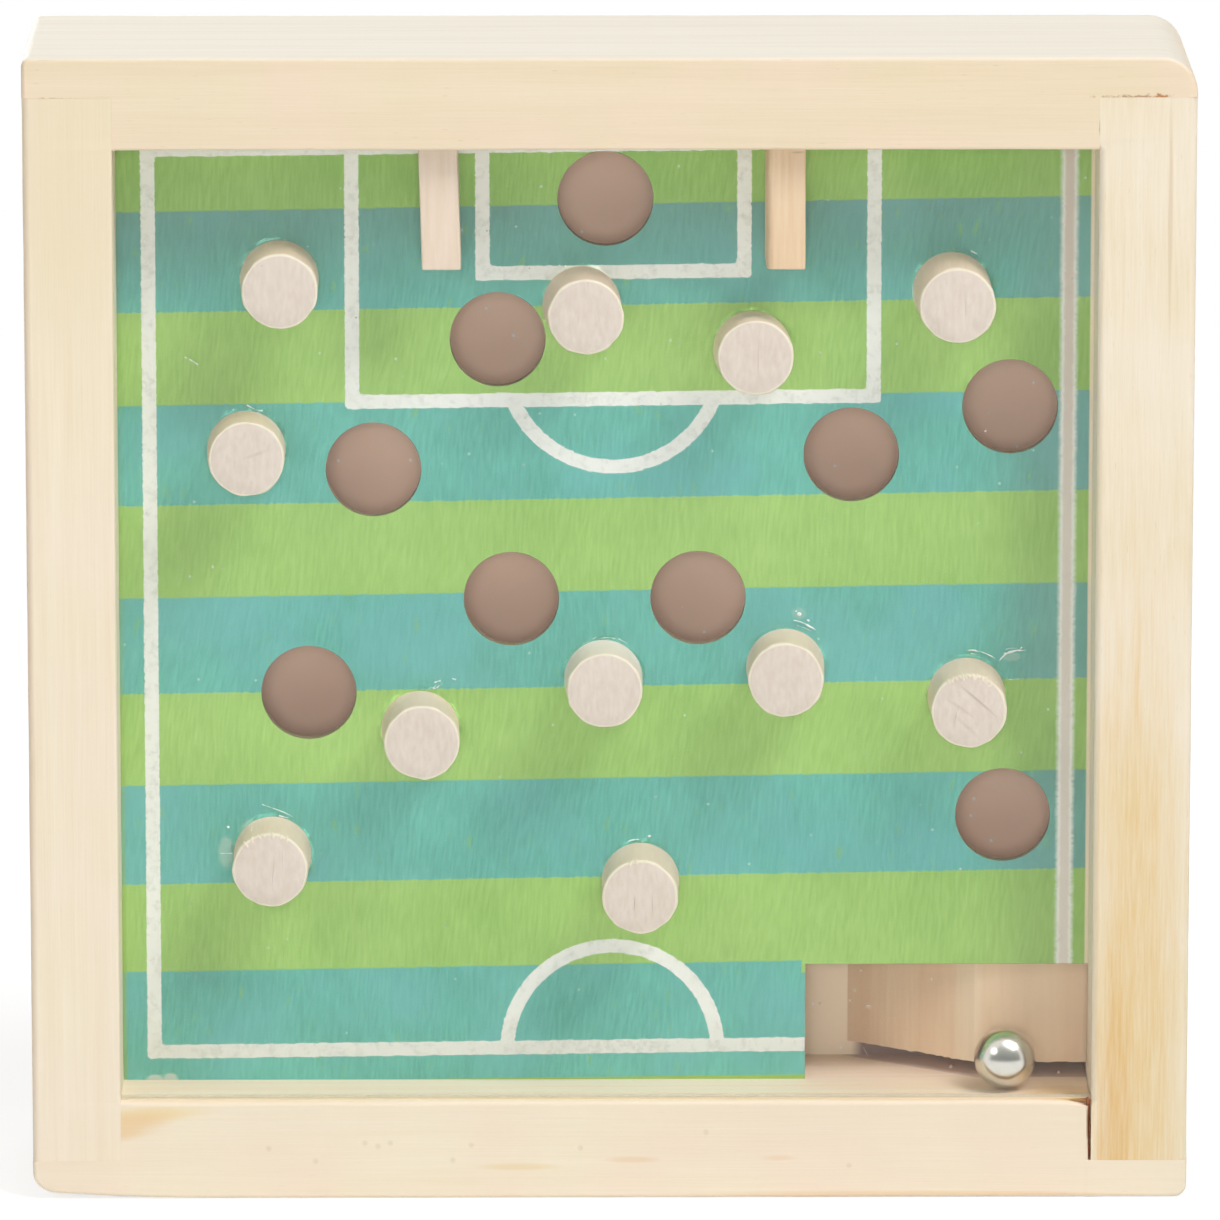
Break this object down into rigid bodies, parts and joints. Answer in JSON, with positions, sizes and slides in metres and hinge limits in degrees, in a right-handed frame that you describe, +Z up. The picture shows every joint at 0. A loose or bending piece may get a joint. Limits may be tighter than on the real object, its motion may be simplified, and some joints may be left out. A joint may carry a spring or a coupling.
{
  "type": "tilting ball puzzle",
  "caption": "Hand-held wooden puzzle: a steel ball is tilted past pegs and trap holes on a printed pitch towards a goal, behind a clear cover, and a block returns it.",
  "frame": {"origin": "middle of the case's footprint, on the surface that it stands on", "axes": "+X to the right seen from the front, +Y from the clear cover to the back, +Z up"},
  "size_m": [0.15, 0.036, 0.15],
  "materials": {
    "pine": "sanded, bare or thinly waxed pine",
    "warm_pine": "sanded pine with warmer grain streaks",
    "printed_plywood": "matte print of green and teal stripes with pale pitch lines",
    "hardboard": "smooth brown board",
    "light_wood": "sawn and sanded light wood",
    "dowel": "cut dowel with end grain at the tip",
    "clear_plastic": "clear, slightly dusty sheet",
    "polished_steel": "polished bearing ball"
  },
  "bodies": {
    "case": {"top_rail": "pine", "bottom_rail": "pine", "left_stile": "pine", "right_stile": "warm_pine", "clear_cover": "clear_plastic", "playing_board": "printed_plywood", "back_panel": "hardboard", "return_block": "light_wood", "goal_post_left": "light_wood", "goal_post_right": "light_wood", "peg_1": "dowel", "peg_2": "dowel", "peg_3": "dowel", "peg_4": "dowel", "peg_5": "dowel", "peg_6": "dowel", "peg_7": "dowel", "peg_8": "dowel", "peg_9": "dowel", "peg_10": "dowel", "peg_11": "dowel"},
    "ball": {"ball": "polished_steel"}
  },
  "joints": [
    {"name": "ball_roll", "type": "slide", "parent": "case", "child": "ball", "axis": [1, 0, 0], "range_m": [-0.1108, 0.0068]}
  ]
}
